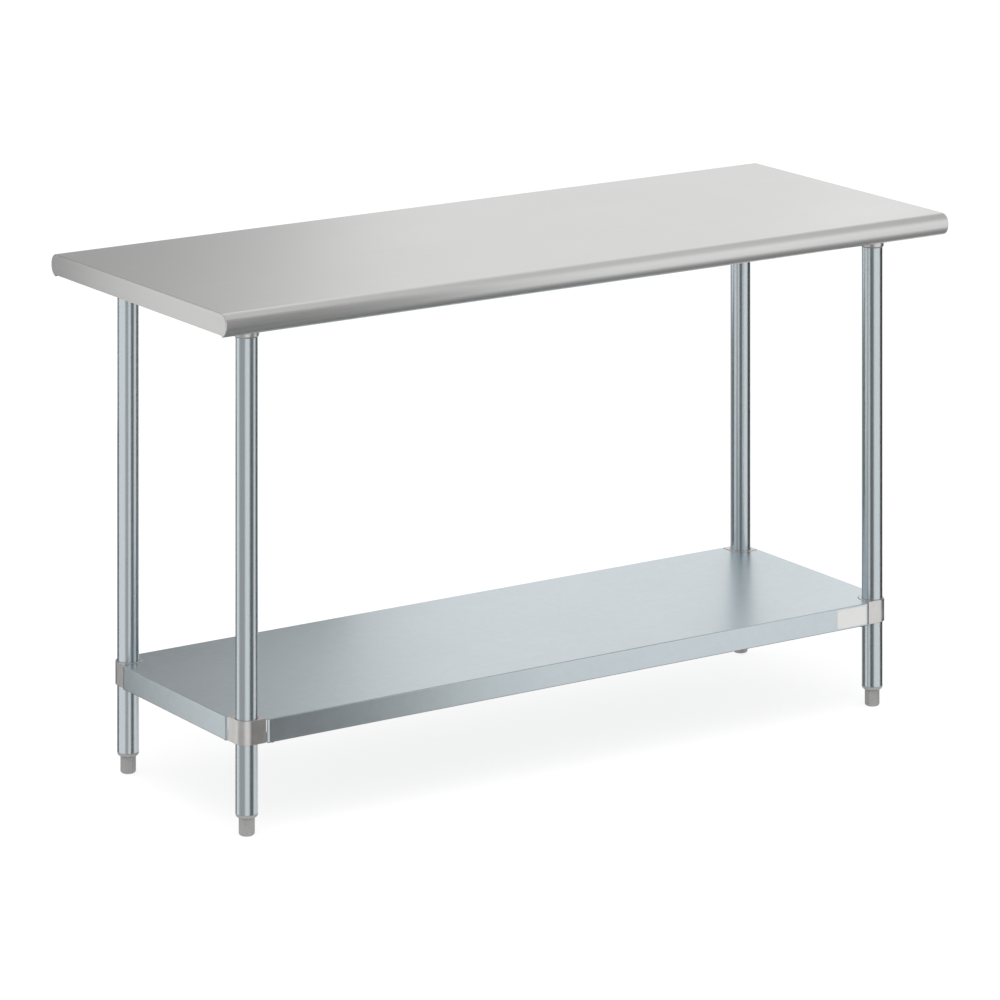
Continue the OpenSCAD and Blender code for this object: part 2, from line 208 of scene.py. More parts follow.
def galvanised(name, axis, tone, rough, cell=80.0, drawn=0.5, specks=0.0, depth=1.0, patchy=1.0):
    """Zinc-coated steel: crystal spangle, lines left by rolling or drawing, and small dull specks."""
    m, t, out = new_material(name)
    c = coords_of(t)
    v = node(t, "ShaderNodeTexVoronoi", feature="F1", in_Scale=cell, in_Randomness=1.0)
    warp = node(t, "ShaderNodeMix", data_type="VECTOR")
    warp.inputs[0].default_value = 0.006
    wn = node(t, "ShaderNodeTexNoise", in_Scale=cell * 1.7, in_Detail=2.0)
    t.links.new(c, wn.inputs["Vector"])
    t.links.new(c, warp.inputs[4])
    t.links.new(wn.outputs["Color"], warp.inputs[5])
    t.links.new(warp.outputs[1], v.inputs["Vector"])
    sep = node(t, "ShaderNodeSeparateColor")
    t.links.new(v.outputs["Color"], sep.inputs[0])
    spangle = sep.outputs[0]
    lines = noise(t, c, grain_stretch(axis, 5, 820), 3, 0.6)
    bands = noise(t, c, grain_stretch(axis, 0.9, 130), 2, 0.5)
    cloud = noise(t, c, (5.3, 4.7, 5.9), 3, 0.6)
    mixed = math_node(t, "ADD", math_node(t, "MULTIPLY", spangle, 1 - drawn), math_node(t, "MULTIPLY", lines, drawn))
    colour = blend(t, spread(t, mixed, 0, 1, 0.15, 0.85), shade(tone, 0.97), shade(tone, 1.03))
    if specks:
        s = spread(t, noise(t, c, (310, 310, 190), 2, 0.5), 0, specks, 0.68, 0.8)
        colour = blend(t, s, colour, shade(tone, 0.45))
    r = math_node(t, "ADD", spread(t, spangle, rough - 0.012 * patchy, rough + 0.015 * patchy, 0, 1),
                  spread(t, cloud, -0.02 * patchy, 0.03 * patchy))
    n = bump(t, [(bands, 0.000008 * drawn * depth), (lines, 0.0000035 * depth)])
    shader(t, out, 1.0, colour, r, n)
    return m


def cast_metal(name, tone=(0.72, 0.705, 0.69), rough=0.36):
    """Die-cast and lightly belted: a fine grainy skin with short upright marks."""
    m, t, out = new_material(name)
    c = coords_of(t)
    skin = noise(t, c, (1100, 1100, 1100), 3, 0.6)
    marks = noise(t, c, (900, 900, 45), 2, 0.6)
    cloud = noise(t, c, (55, 55, 40), 3, 0.6)
    mixed = math_node(t, "ADD", math_node(t, "MULTIPLY", marks, 0.6), math_node(t, "MULTIPLY", cloud, 0.4))
    colour = blend(t, spread(t, mixed, 0, 1, 0.35, 0.65), shade(tone, 0.92), shade(tone, 1.06))
    r = math_node(t, "ADD", spread(t, skin, rough - 0.05, rough + 0.06), spread(t, cloud, -0.03, 0.03))
    n = bump(t, [(cloud, 0.00004), (marks, 0.000008), (skin, 0.000012)])
    shader(t, out, 1.0, colour, r, n)
    return m


def grey_plastic(name, tone=(0.31, 0.31, 0.305)):
    """Moulded nylon with glass fibre: pale flecks and a slightly uneven gloss."""
    m, t, out = new_material(name)
    c = coords_of(t)
    fleck = noise(t, c, (950, 950, 420), 2, 0.55)
    cloud = noise(t, c, (90, 90, 60), 3, 0.6)
    colour = blend(t, spread(t, fleck, 0, 1, 0.42, 0.75), shade(tone, 0.93), shade(tone, 1.3))
    colour = blend(t, spread(t, cloud, 0, 0.35, 0.4, 0.7), colour, shade(tone, 0.82))
    r = spread(t, cloud, 0.33, 0.45)
    n = bump(t, [(cloud, 0.00006), (fleck, 0.00002)])
    b = shader(t, out, 0.0, colour, r, n)
    b.inputs["IOR"].default_value = 1.53
    return m


def plated_steel(name, tone=(0.66, 0.675, 0.685), rough=0.28, thread=0.0):
    """Bright zinc plate on small hardware."""
    m, t, out = new_material(name)
    c = coords_of(t)
    fine = noise(t, c, (1500, 1500, 1500), 2, 0.55)
    cloud = noise(t, c, (240, 240, 240), 3, 0.6)
    colour = blend(t, spread(t, cloud, 0, 1, 0.35, 0.65), shade(tone, 0.86), shade(tone, 1.06))
    r = spread(t, cloud, rough - 0.05, rough + 0.1)
    layers = [(cloud, 0.00001), (fine, 0.000004)]
    if thread:
        sep = node(t, "ShaderNodeSeparateXYZ")
        t.links.new(c, sep.inputs[0])
        wave = math_node(t, "SINE", math_node(t, "MULTIPLY", sep.outputs[2], 2 * math.pi / thread), 0.0)
        layers.insert(0, (wave, 0.00012))
    shader(t, out, 1.0, colour, r, bump(t, layers))
    return m


def black_oxide(name):
    m, t, out = new_material(name)
    c = coords_of(t)
    fine = noise(t, c, (1300, 1300, 1300), 3, 0.6)
    colour = blend(t, spread(t, fine, 0, 1, 0.35, 0.7), (0.016, 0.016, 0.018), (0.045, 0.044, 0.046))
    shader(t, out, 0.6, colour, spread(t, fine, 0.32, 0.5), bump(t, [(fine, 0.00001)]))
    return m


def foil(name):
    """Thin brushed foil with a pale lacquer."""
    m, t, out = new_material(name)
    c = coords_of(t)
    fine = noise(t, c, (35, 1500, 1500), 3, 0.6)
    cloud = noise(t, c, (70, 70, 90), 3, 0.5)
    colour = blend(t, spread(t, fine, 0, 1), (0.68, 0.68, 0.665), (0.75, 0.75, 0.735))
    r = math_node(t, "ADD", spread(t, fine, 0.3, 0.38), spread(t, cloud, -0.02, 0.03))
    shader(t, out, 0.25, colour, r, bump(t, [(cloud, 0.00002), (fine, 0.000004)]))
    return m


M = {
    "top": brushed_stainless("stainless_brushed_lengthwise", "X", rough=0.34),
    "end": brushed_stainless("stainless_brushed_crosswise", "Y", rough=0.34, depth=1.2),
    "channel": galvanised("galvanised_channel", "X", (0.58, 0.625, 0.645), 0.36, cell=70, drawn=0.3),
    "shelf": galvanised("galvanised_shelf", "X", (0.61, 0.68, 0.71), 0.30, cell=85, drawn=0.55, depth=0.2, patchy=0.6),
    "tube": galvanised("galvanised_tube", "Z", (0.585, 0.645, 0.675), 0.25, cell=160, drawn=0.9, depth=0.1, patchy=0.25),
    "cast": cast_metal("cast_aluminium"),
    "plastic": grey_plastic("grey_nylon"),
    "plastic_dome": grey_plastic("grey_nylon_plug", (0.335, 0.335, 0.33)),
    "zinc": plated_steel("zinc_plated_steel"),
    "stud": plated_steel("zinc_plated_stud", rough=0.3, thread=0.0008),
    "black": black_oxide("black_oxide_steel"),
    "foil": foil("brushed_foil"),
}


# ------------------------------------------------------------------ mesh helpers
class Build:
    """Collects vertices and faces, then makes one object of them."""

    def __init__(self):
        self.v, self.f, self.m = [], [], []

    def ring(self, points):
        i = len(self.v)
        self.v += [tuple(p) for p in points]
        return list(range(i, i + len(points)))

    def face(self, idx, mat=0):
        self.f.append(tuple(idx))
        self.m.append(mat)

    def loft(self, rings, closed=True, caps=(False, False), loop=False, mat=0):
        ids = [self.ring(r) for r in rings]
        pairs = list(zip(ids, ids[1:])) + ([(ids[-1], ids[0])] if loop else [])
        for a, b in pairs:
            n = len(a)
            for j in range(n if closed else n - 1):
                k = (j + 1) % n
                self.face((a[j], a[k], b[k], b[j]), mat)
        if caps[0]:
            self.face(list(reversed(ids[0])), mat)
        if caps[1]:
            self.face(ids[-1], mat)
        return ids

    def finish(self, name, mats, body, slot, stands_for=(), sharp=38, thickness=None, up_face=None, weighted=True):
        me = bpy.data.meshes.new(name)
        me.from_pydata(self.v, [], self.f)
        for mt in mats:
            me.materials.append(mt)
        me.polygons.foreach_set("material_index", self.m)
        bm = bmesh.new()
        bm.from_mesh(me)
        bmesh.ops.remove_doubles(bm, verts=bm.verts, dist=1e-7)
        bmesh.ops.dissolve_degenerate(bm, edges=bm.edges, dist=1e-7)
        bmesh.ops.recalc_face_normals(bm, faces=bm.faces)
        if up_face is not None:
            big = max(bm.faces, key=lambda f: f.calc_area())
            if big.normal.dot(Vector(up_face)) < 0:
                bmesh.ops.reverse_faces(bm, faces=bm.faces)
        bm.to_mesh(me)
        bm.free()
        me.shade_smooth()
        me.set_sharp_from_angle(angle=math.radians(sharp))
        o = bpy.data.objects.new(name, me)
        scene.collection.objects.link(o)
        if thickness:
            s = o.modifiers.new("sheet", "SOLIDIFY")
            s.thickness, s.offset = thickness, -1
            s.use_even_offset = True
            s.use_quality_normals = True
        if weighted:
            w = o.modifiers.new("normals", "WEIGHTED_NORMAL")
            w.keep_sharp = True
            w.weight = 50
        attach(o, body)
        if stands_for:
            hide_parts(*stands_for)
        return o


def rounded(points, radii, inset=0.0, arc=8, edge=1):
    """A convex outline, moved inwards, with rounded corners. The number of points doesn't depend on inset."""
    n = len(points)
    pts = [Vector(p) for p in points]
    area = sum(pts[i].x * pts[(i + 1) % n].y - pts[(i + 1) % n].x * pts[i].y for i in range(n))
    s = 1 if area > 0 else -1
    normals = []
    for i in range(n):
        d = (pts[(i + 1) % n] - pts[i]).normalized()
        normals.append(Vector((-d.y * s, d.x * s)))
    corners = []
    for i in range(n):
        n0, n1 = normals[i - 1], normals[i]
        k = (n0 + n1) / (1 + n0.dot(n1))
        corners.append((pts[i] + k * inset, k, n0, n1, max(radii[i] - inset, 1e-6)))
    out = []
    for i, (p, k, n0, n1, r) in enumerate(corners):
        centre = p + k * r
        a0, a1 = math.atan2(-n0.y, -n0.x), math.atan2(-n1.y, -n1.x)
        da = (a1 - a0 + math.pi) % (2 * math.pi) - math.pi
        for j in range(arc + 1):
            a = a0 + da * j / arc
            out.append(centre + Vector((math.cos(a), math.sin(a))) * r)
        q, kq, q0, _, rq = corners[(i + 1) % n]
        start = out[-1].copy()
        nxt_centre = q + kq * rq
        nxt = nxt_centre - q0 * rq
        for j in range(1, edge):
            out.append(start.lerp(nxt, j / edge))
    return out


def circle_like(points, r):
    return [Vector((p.x, p.y)).normalized() * r for p in points]


def quarter(r, n=4):
    """(inset, rise) pairs of a quarter round of radius r, from its foot to its crown."""
    return [(r * (1 - math.cos(math.pi / 2 * i / n)), r * math.sin(math.pi / 2 * i / n)) for i in range(n + 1)]


def lathe_rings(profile, place, seg=96):
    return [[place(r * math.cos(2 * math.pi * j / seg), r * math.sin(2 * math.pi * j / seg), z) for j in range(seg)]
            for r, z in profile]


def tilted(origin, direction):
    """A placing function whose third coordinate runs along direction."""
    d = Vector(direction).normalized()
    a = Vector((0, 0, 1)).cross(d).normalized()
    b = d.cross(a)
    return lambda x, y, z: Vector(origin) + a * x + b * y + d * z


# ------------------------------------------------------------------ sizes, from the frame
top_lo, top_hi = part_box("work_top")
shelf_lo, shelf_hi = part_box("undershelf")
LEG = {}
for c in CORNERS:
    lo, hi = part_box("leg_" + c)
    LEG[c] = (Vector(((lo.x + hi.x) / 2, (lo.y + hi.y) / 2, 0)), (hi.x - lo.x) / 2, lo.z, hi.z)
leg_r = LEG["front_left"][1]


def corner_place(c):
    """Points drawn for the front left leg, carried to leg c."""
    (sx, sy), (p, _, _, _) = CORNERS[c], LEG[c]
    mx, my = (-1 if sx > 0 else 1), (-1 if sy > 0 else 1)
    return lambda x, y, z: Vector((p.x + mx * x, p.y + my * y, z))


# ------------------------------------------------------------------ worktop
def make_worktop():
    hl, hw, h = top_hi.x, top_hi.y, top_hi.z
    up_r, low_r, flat, sweep, drop = 0.018, 0.019, 0.003, math.radians(74.4), 0.0363
    fillet = 0.0017

    def contour(inset):
        half = []
        zc = h - up_r - flat
        for i in range(25):
            a = math.pi + sweep * (1 - i / 24)
            half.append((-hw + low_r + (low_r - inset) * math.cos(a), zc + (low_r - inset) * math.sin(a)))
        for i in range(25):
            a = math.pi - math.pi / 2 * i / 24
            half.append((-hw + up_r + (up_r - inset) * math.cos(a), h - up_r + (up_r - inset) * math.sin(a)))
        return half + [(-y, z) for y, z in reversed(half)]

    b = Build()
    steps = 5
    stations = []
    for i in range(steps + 1):
        a = math.pi / 2 * i / steps
        stations.append((-hl + fillet * (1 - math.cos(a)), fillet * (1 - math.sin(a))))
    xs = [(-hl + fillet) + (2 * hl - 2 * fillet) * i / 24 for i in range(1, 24)]
    stations += [(x, 0.0) for x in xs] + [(-x, d) for x, d in reversed(stations)]
    ids = b.loft([[(x, y, z) for y, z in contour(d)] for x, d in stations], closed=False)
    for ring, x in ((ids[0], -hl), (ids[-1], hl)):
        low = b.ring([(x, hw - up_r, h - drop), (x, -hw + up_r, h - drop)])
        b.face(ring + low, 1)
    return b.finish("worktop_sheet", [M["top"], M["end"]], "table_frame", "stainless_sheet", ["work_top"],
                    sharp=50, thickness=0.0012, up_face=(0, 0, 1))


# ------------------------------------------------------------------ undershelf
def make_shelf():
    top, bottom = shelf_hi.z, shelf_lo.z
    lx, ly = -LEG["front_left"][0].x, -LEG["front_left"][0].y
    out, co, ci, notch = shelf_hi.x - lx, 0.0223, 0.0252, 0.0264
    bend, low_bend, lip = 0.0022, 0.0018, 0.013
    k = out - co
    a0, a1, a2 = ci + 0.0004, ci + 0.0004 + k, ci + 0.006

    def path(half, other, inset):
        """Plan line of one flange for a side that runs along its first axis, with its face at -other."""
        h = math.sqrt(0.5)
        left = [(-half + a0 + h * inset, -other + (out - co) + h * inset),
                (-half + a1 + (math.sqrt(2) - 1) * inset, -other + inset),
                (-half + a2, -other + inset)]
        mid = [(x, -other + inset) for x in [(-half + a2) + (2 * half - 2 * a2) * i / 12 for i in range(1, 12)]]
        return left + mid + [(-x, y) for x, y in reversed(left)]

    sides = [  # half length to the leg, distance of the face, and the turn into place
        (lx, shelf_hi.y, lambda x, y, z: (x, y, z)),
        (ly, shelf_hi.x, lambda x, y, z: (-y, x, z)),
        (lx, shelf_hi.y, lambda x, y, z: (-x, -y, z)),
        (ly, shelf_hi.x, lambda x, y, z: (y, -x, z)),
    ]
    b = Build()
    outline = []
    for s, (half, face, turn) in enumerate(sides):
        rings = []
        for i in range(6):
            a = math.pi / 2 * i / 5
            rings.append((bend * (1 - math.sin(a)), top - bend * (1 - math.cos(a))))
        rings.append((0.0, bottom + low_bend))
        ids = b.loft([[turn(x, y, z) for x, y in path(half, face, d)] for d, z in rings], closed=False)
        n = len(ids[-1])
        # plain lower ends beside the clamps
        for part in (ids[-1][:3], ids[-1][-3:]):
            low = b.ring([(b.v[i][0], b.v[i][1], bottom) for i in part])
            for j in range(2):
                b.face((part[j], part[j + 1], low[j + 1], low[j]))
        # lip turned in under the straight part
        keep = ids[-1][2:n - 2]
        plan = path(half, face, 0.0)[2:n - 2]
        last = keep
        for i in range(1, 6):
            a = math.pi / 2 * i / 5
            d, z = low_bend * (1 - math.cos(a)), bottom + low_bend * (1 - math.sin(a))
            now = b.ring([turn(x, y + d, z) for x, y in plan])
            for j in range(len(now) - 1):
                b.face((last[j], last[j + 1], now[j + 1], now[j]))
            last = now
        now = b.ring([turn(x, y + lip, bottom) for x, y in plan])
        for j in range(len(now) - 1):
            b.face((last[j], last[j + 1], now[j + 1], now[j]))
        # outline of the flat sheet: this side's bend line, then the cut round the next leg
        outline += ids[0]
        arc = []
        cx, cy = half, -(face - out)
        pts = [(cx - notch, cy - 0.0200)] + [(cx - notch * math.cos(q), cy + notch * math.sin(q))
                                             for q in [math.pi / 2 * i / 16 for i in range(17)]] + [(cx + 0.0200, cy + notch)]
        arc = b.ring([turn(x, y, top) for x, y in pts])
        outline += arc
    b.face(outline)
    return b.finish("undershelf_sheet", [M["shelf"]], "shelf", "galvanised_sheet", ["undershelf"],
                    sharp=50, thickness=0.0012, up_face=(0, 0, 1))


# ------------------------------------------------------------------ clamps
def ring_wall(b, place, outer, bore, z0, z1, foot_r, head_r, edge_r=0.0005):
    """A casting with a round bore: outer is a function of inset that gives the outline."""
    base = outer(0.0)
    inner = lambda r: circle_like(base, r)
    rings = [(inner(bore + edge_r), z0)]
    rings += [(outer(foot_r - i), z0 + foot_r - r) for i, r in [(foot_r * math.sin(a), foot_r * math.cos(a)) for a in
                                                               [math.pi / 2 * j / 4 for j in range(5)]]]
    rings += [(outer(i), z1 - head_r + r) for i, r in quarter(head_r)]
    rings += [(inner(bore + edge_r), z1), (inner(bore), z1 - edge_r), (inner(bore), z0 + edge_r)]
    b.loft([[place(p.x, p.y, z) for p in pts] for pts, z in rings], loop=True)


def boss(b, place, r, hole, near, far, z, round_r=0.0008):
    """A boss on the inner diagonal of a corner casting, with the set screw's hole along it."""
    o = place(0, 0, z)
    d = place(1, 1, z) - o
    at = tilted(o, (d.x, d.y, 0))
    prof = [(hole, near), (r, near)] + [(r - i, far - round_r + s) for i, s in quarter(round_r)]
    prof += [(hole + 0.0005, far), (hole, far - 0.0005)]
    b.loft(lathe_rings(prof, at, 40), loop=True)


def make_clamp(c):
    lo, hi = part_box("shelf_clamp_" + c)
    place = corner_place(c)
    co, ci = 0.0223, 0.0252
    pts = [(-co, -co), (ci, -co), (ci, ci), (-co, ci)]
    radii = [co, 0.0011, ci, 0.0011]
    outer = lambda inset: rounded(pts, radii, inset, arc=20, edge=8)
    b = Build()
    ring_wall(b, place, outer, leg_r + 0.00035, lo.z, hi.z, 0.0006, 0.0007)
    set_z = shelf_hi.z - 0.021
    boss(b, place, 0.008, 0.004, 0.0212, 0.034, set_z)
    # lugs behind the two flanges
    zb, zt = shelf_lo.z + 0.0012, shelf_lo.z + 0.0152
    for flip in (False, True):
        q = [(0.0150, -co + 0.0016), (ci + 0.010, -co + 0.0016), (ci + 0.010, -co + 0.0106), (0.0150, -co + 0.0106)]
        if flip:
            q = [(y, x) for x, y in q][::-1]
        r = [0.0004, 0.0015, 0.0015, 0.0004]
        lug = lambda inset: rounded(q, r, inset, arc=4)
        rows = [(lug(0.0004), zb), (lug(0.0), zb + 0.0004)] + [(lug(i), zt - 0.0008 + s) for i, s in quarter(0.0008)]
        b.loft([[place(p.x, p.y, z) for p in pp] for pp, z in rows], caps=(True, True))
    return b.finish("clamp_casting_" + c, [M["cast"]], "shelf", "cast_aluminium", ["shelf_clamp_" + c], sharp=40)


# ------------------------------------------------------------------ leg sockets
def make_socket(c):
    lo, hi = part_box("leg_socket_" + c)
    place = corner_place(c)
    a = 0.038
    sq = [(-a, -a), (a, -a), (a, a), (-a, a)]
    outer = lambda inset: rounded(sq, [0.008] * 4, inset, arc=10, edge=16)
    base = outer(0.0)
    z0, z1 = lo.z, hi.z
    zf = z1 - 0.0056
    bore, od = leg_r + 0.00015, 0.0213
    rows = [(circle_like(base, bore), LEG[c][3] + 0.0002), (circle_like(base, bore), z0 + 0.0005),
            (circle_like(base, bore + 0.0004), z0), (circle_like(base, od - 0.0014), z0),
            (circle_like(base, od - 0.0003), z0 + 0.0018), (circle_like(base, od), z0 + 0.0030),
            (circle_like(base, od), zf - 0.0062), (circle_like(base, od + 0.0003), zf - 0.0048),
            (circle_like(base, od + 0.0033), zf - 0.0008), (circle_like(base, od + 0.0045), zf)]
    rows += [(outer(0.0010), zf)] + [(outer(0.0010 - i), zf + 0.0010 - s) for i, s in
                                     [(0.0010 * math.sin(q), 0.0010 * math.cos(q)) for q in [math.pi / 2 * j / 4 for j in range(1, 5)]]]
    rows += [(outer(0.0), z1 - 0.0004), (outer(0.0004), z1)]
    b = Build()
    b.loft([[place(p.x, p.y, z) for p in pts] for pts, z in rows], caps=(True, True))
    boss(b, place, 0.007, 0.004, 0.0203, 0.0293, z0 + 0.017)
    return b.finish("socket_casting_" + c, [M["cast"]], "table_frame", "cast_aluminium", ["leg_socket_" + c], sharp=40)


# ------------------------------------------------------------------ legs
def make_leg(c):
    p, r, z0, z1 = LEG[c]
    ir = r - 0.0015
    e = 0.0004
    prof = [(ir, z0 + e), (ir + e, z0)] + [(r - e + i, z0 + e - s) for i, s in
                                           [(e * math.sin(q), e * math.cos(q)) for q in [math.pi / 2 * j / 3 for j in range(4)]]]
    prof += [(r, z0 + (z1 - z0) * i / 12) for i in range(1, 12)]
    prof += [(r - i, z1 - e + s) for i, s in quarter(e, 3)] + [(ir, z1)]
    b = Build()
    b.loft(lathe_rings(prof, lambda x, y, z: Vector((p.x + x, p.y + y, z)), 128), loop=True)
    return b.finish("tube_leg_" + c, [M["tube"]], "table_frame", "galvanised_tube", ["leg_" + c], sharp=40)


# ------------------------------------------------------------------ feet
def hexagon(r, turn):
    return [(r * math.cos(math.radians(turn + 60 * i)), r * math.sin(math.radians(turn + 60 * i))) for i in range(6)]


def make_foot(c):
    lo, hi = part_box("foot_" + c)
    p = LEG[c][0]
    place = lambda x, y, z: Vector((p.x + x, p.y + y, z))
    r, sole = 0.01375, 0.0045
    hexa = hexagon(r, 31)
    side = lambda inset: rounded(hexa, [0.0012] * 6, inset, arc=6, edge=8)
    base = side(0.0)

    def cut(pts, limit):
        return [q if q.length <= limit else q.normalized() * limit for q in pts]

    rows = []
    for i in range(9):
        a = math.pi / 2 * i / 8
        rows.append((cut(side(0.0), r - sole + sole * math.sin(a)), lo.z + sole * (1 - math.cos(a))))
    zt = hi.z
    rows += [(side(0.0), zt - 0.0008 - 0.004)]
    rows += [(side(i), zt - 0.0008 + s) for i, s in quarter(0.0008)]
    rows += [(circle_like(base, 0.0078), zt), (circle_like(base, 0.0074), zt - 0.0008), (circle_like(base, 0.00525), zt - 0.0008),
             (circle_like(base, 0.00505), zt - 0.0011), (circle_like(base, 0.00505), lo.z + 0.0088)]
    b = Build()
    b.loft([[place(q.x, q.y, z) for q in pts] for pts, z in rows], caps=(True, True))
    return b.finish("foot_moulding_" + c, [M["plastic"]], "foot_body_" + c, "grey_plastic", ["foot_" + c], sharp=42)


def make_stud(c):
    """Stud with its real thread on the length that shows when the foot is screwed out."""
    lo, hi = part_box("foot_stud_" + c)
    p = LEG[c][0]
    pitch, major, minor, seg = 0.0015, 0.00497, 0.0041, 32
    z0, z1 = lo.z + 0.0185, lo.z + 0.0485
    rows = [(0.0044, lo.z), (0.00497, lo.z + 0.0006), (0.00497, z0 - 0.0008)]
    n = int((z1 - z0) / pitch * 10)
    b = Build()
    rings = lathe_rings(rows, lambda x, y, z: Vector((p.x + x, p.y + y, z)), seg)
    for i in range(n + 1):
        z = z0 + (z1 - z0) * i / n
        ease = min(1.0, (z - z0) / pitch, (z1 - z) / pitch)
        ring = []
        for j in range(seg):
            ph = (z / pitch - j / seg) % 1.0
            up = min(1.0, max(0.0, (abs(ph - 0.5) * 2 - 0.12) / 0.76))
            rad = major - (major - minor) * (1 - up) * ease
            a = 2 * math.pi * j / seg
            ring.append(Vector((p.x + rad * math.cos(a), p.y + rad * math.sin(a), z)))
        rings.append(ring)
    rings += lathe_rings([(0.00497, z1 + 0.0008), (0.00497, hi.z - 0.001), (0.0040, hi.z)],
                         lambda x, y, z: Vector((p.x + x, p.y + y, z)), seg)
    b.loft(rings, caps=(True, True))
    return b.finish("foot_screw_" + c, [M["zinc"]], "stud_" + c, "zinc_steel", ["foot_stud_" + c], sharp=60, weighted=False)


# ------------------------------------------------------------------ hardware
def hex_part(b, place, r, height, hole=0.0, turn=0.0, down=True):
    """A hexagon head or nut whose free end carries the usual 30 degree chamfer. place(x, y, z) has z = 0 on the seat."""
    pts = rounded(hexagon(r, turn), [0.0003] * 6, 0.0, arc=2, edge=6)
    flat = r * math.cos(math.pi / 6)
    crown = flat * 0.95
    s = -1 if down else 1
    chamfer = lambda q: max(0.0, q.length - crown) * math.tan(math.radians(30))
    seat = [place(q.x, q.y, 0) for q in rounded(hexagon(r, turn), [0.0003] * 6, 0.00015, arc=2, edge=6)]
    wall0 = [place(q.x, q.y, s * 0.00015) for q in pts]
    wall1 = [place(q.x, q.y, s * (height - chamfer(q))) for q in pts]
    crown_ring = [place(q.x, q.y, s * height) for q in circle_like(pts, crown)]
    if hole:
        rings = [[place(q.x, q.y, 0) for q in circle_like(pts, hole)], seat, wall0, wall1, crown_ring,
                 [place(q.x, q.y, s * height) for q in circle_like(pts, hole + 0.0006)],
                 [place(q.x, q.y, s * (height - 0.0006)) for q in circle_like(pts, hole)]]
        b.loft(rings, loop=True)
    else:
        b.loft([seat, wall0, wall1, crown_ring], caps=(True, True))


def make_socket_bolts():
    lo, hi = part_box("socket_bolts")
    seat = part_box("leg_socket_front_left")[1].z - 0.0056
    b, n = Build(), 0
    for c in CORNERS:
        p = LEG[c][0]
        for i, (dx, dy) in enumerate([(-0.028, -0.028), (0.028, -0.028), (-0.028, 0.028), (0.028, 0.028)]):
            n += 1
            at = lambda x, y, z, px=p.x + dx, py=p.y + dy: Vector((px + x, py + y, seat + z))
            washer = [(0.0031, -0.00002), (0.0058, -0.00002), (0.0060, -0.0004), (0.0058, -0.0008), (0.0031, -0.0008)]
            b.loft(lathe_rings(washer, at, 40), loop=True)
            low = lambda x, y, z, at=at: at(x, y, z - 0.0008)
            hex_part(b, low, 0.00577, 0.0032, turn=(n * 37) % 60)
            shank = [(0.0029, 0.0), (0.0029, hi.z - seat - 0.0006), (0.0023, hi.z - seat)]
            b.loft(lathe_rings(shank, at, 24), caps=(True, True))
    return b.finish("socket_hex_bolts", [M["zinc"]], "table_frame", "zinc_steel", ["socket_bolts"], sharp=32)


def make_channel_nuts():
    lo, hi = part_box("channel_nuts")
    xs = [-0.56, -0.28, 0, 0.28, 0.56]
    places = [(x, s * 0.039) for x in xs for s in (-1, 1)]
    lx = LEG["front_right"][0].x
    places += [(q * lx + s * 0.051, y) for y in (-0.235, -0.09, 0.09, 0.235) for s in (-1, 1) for q in (-1, 1)]
    b = Build()
    for n, (x0, y0) in enumerate(places):
        at = lambda x, y, z, x0=x0, y0=y0: Vector((x0 + x, y0 + y, hi.z + z))
        skirt = [(0.00255, 0.0), (0.0054, 0.0), (0.0056, -0.0003), (0.0055, -0.0009), (0.0046, -0.0013), (0.00255, -0.0013)]
        b.loft(lathe_rings(skirt, at, 36), loop=True)
        low = lambda x, y, z, at=at: at(x, y, z - 0.0012)
        hex_part(b, low, 0.00462, 0.0038, hole=0.00255, turn=(n * 23) % 60)
    return b.finish("channel_flange_nuts", [M["zinc"]], "table_frame", "zinc_steel", ["channel_nuts"], sharp=32)


def make_label():
    """Blank foil plate: a flat panel inside a slightly raised border, with rounded corners."""
    lo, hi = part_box("label_plate")
    cx, cz, w, h = (lo.x + hi.x) / 2, (lo.z + hi.z) / 2, (hi.x - lo.x) / 2, (hi.z - lo.z) / 2
    rect = [(-w, -h), (w, -h), (w, h), (-w, h)]
    out = lambda inset: rounded(rect, [0.0022] * 4, inset, arc=6)
    th = hi.y - lo.y
    rows = [(0.0, 0.0), (0.0, th - 0.0001), (0.00005, th - 0.00003), (0.0001, th), (0.0010, th), (0.0012, th - 0.00012)]
    b = Build()
    b.loft([[Vector((cx + q.x, hi.y - z, cz + q.y)) for q in out(i)] for i, z in rows], caps=(True, True))
    return b.finish("foil_plate", [M["foil"]], "shelf", "foil", ["label_plate"], sharp=30)


make_worktop()
make_shelf()
for corner in CORNERS:
    make_leg(corner)
    make_clamp(corner)
    make_socket(corner)
    make_foot(corner)
    make_stud(corner)
make_socket_bolts()
make_channel_nuts()
make_label()

# ------------------------------------------------------------------ CAD nodes that stay
KEEP = {
    "top_hat_channel": "channel", "cross_channel_left": "channel", "cross_channel_right": "channel",
    "shelf_hat_channel": "channel", "channel_studs": "stud", "socket_nuts": "zinc",
    "socket_set_screws": "black", "clamp_set_screws": "black", "clamp_screws": "zinc",
}
for corner in CORNERS:
    KEEP["foot_insert_" + corner] = "plastic_dome"
for name, key in KEEP.items():
    o = nodes[name]
    o.data.materials.clear()
    o.data.materials.append(M[key])
    if key == "channel":
        v = o.modifiers.new("bend", "BEVEL")
        v.width, v.segments, v.limit_method, v.angle_limit = 0.0009, 3, "ANGLE", math.radians(50)


